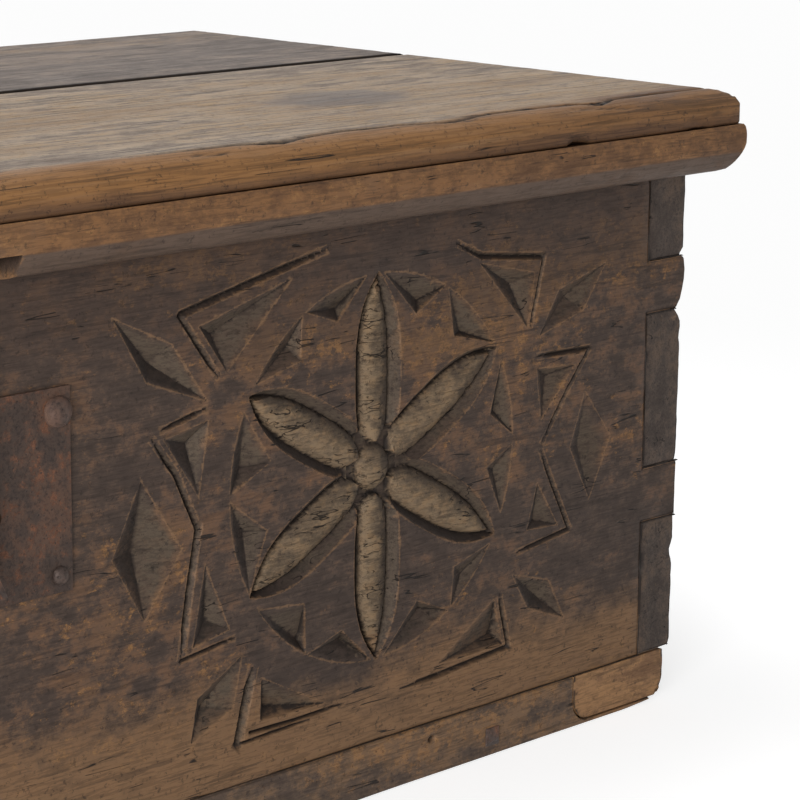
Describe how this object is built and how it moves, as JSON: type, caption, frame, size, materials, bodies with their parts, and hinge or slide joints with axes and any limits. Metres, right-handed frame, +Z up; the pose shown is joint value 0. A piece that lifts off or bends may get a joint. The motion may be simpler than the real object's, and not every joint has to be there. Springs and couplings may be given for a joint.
{
  "type": "coffer chest",
  "caption": "Long boarded chest with dovetailed corners, a chip-carved front, a moulded overhanging lid on strap hinges, an iron lock plate and a hasp.",
  "frame": {"origin": "on the floor, under the middle of the whole chest", "axes": "+X along the front to the right, +Y from the front to the back, +Z up"},
  "size_m": [1.278, 0.552, 0.432],
  "materials": {
    "front_oak": "worn, waxed",
    "carcass_oak": "worn, waxed",
    "bottom_oak": "worn, waxed",
    "patch_oak": "worn, waxed",
    "lid_oak": "worn, waxed",
    "moulding_oak": "worn, waxed",
    "wrought_iron": "rusted"
  },
  "bodies": {
    "chest": {"front_board": "front_oak", "back_board": "carcass_oak", "left_side_board": "carcass_oak", "right_side_board": "carcass_oak", "front_bottom_board": "bottom_oak", "rear_bottom_board": "bottom_oak", "bottom_patch": "patch_oak", "bottom_nails": "wrought_iron", "edge_nail": "wrought_iron", "left_hinge_leaf": "wrought_iron", "right_hinge_leaf": "wrought_iron", "left_hinge_pin": "wrought_iron", "right_hinge_pin": "wrought_iron", "leaf_nails": "wrought_iron", "lock_plate": "wrought_iron", "plate_nails": "wrought_iron", "lock_case": "wrought_iron", "bolt_guides": "wrought_iron", "bolt_spring": "wrought_iron", "key_pin": "wrought_iron"},
    "lid": {"lid_front_board": "lid_oak", "lid_rear_board": "lid_oak", "front_moulding": "moulding_oak", "left_moulding": "moulding_oak", "right_moulding": "moulding_oak", "moulding_nails": "wrought_iron", "left_batten": "lid_oak", "right_batten": "lid_oak", "batten_nails": "wrought_iron", "left_hinge_strap": "wrought_iron", "right_hinge_strap": "wrought_iron", "strap_nails": "wrought_iron", "hasp_eye": "wrought_iron"},
    "hasp": {"hasp_strap": "wrought_iron", "hasp_staple": "wrought_iron"},
    "bolt": {"lock_bolt": "wrought_iron"}
  },
  "joints": [
    {"name": "lid_hinge", "type": "hinge", "parent": "chest", "child": "lid", "pos_m": [0, 0.255, 0.4006], "axis": [-1, 0, 0], "range_deg": [0, 112]},
    {"name": "hasp_swing", "type": "hinge", "parent": "lid", "child": "hasp", "pos_m": [0, -0.254, 0.382], "axis": [-1, 0, 0], "range_deg": [-4.05, 100]},
    {"name": "bolt_throw", "type": "slide", "parent": "chest", "child": "bolt", "axis": [-1, 0, 0], "range_m": [0, 0.016]}
  ]
}
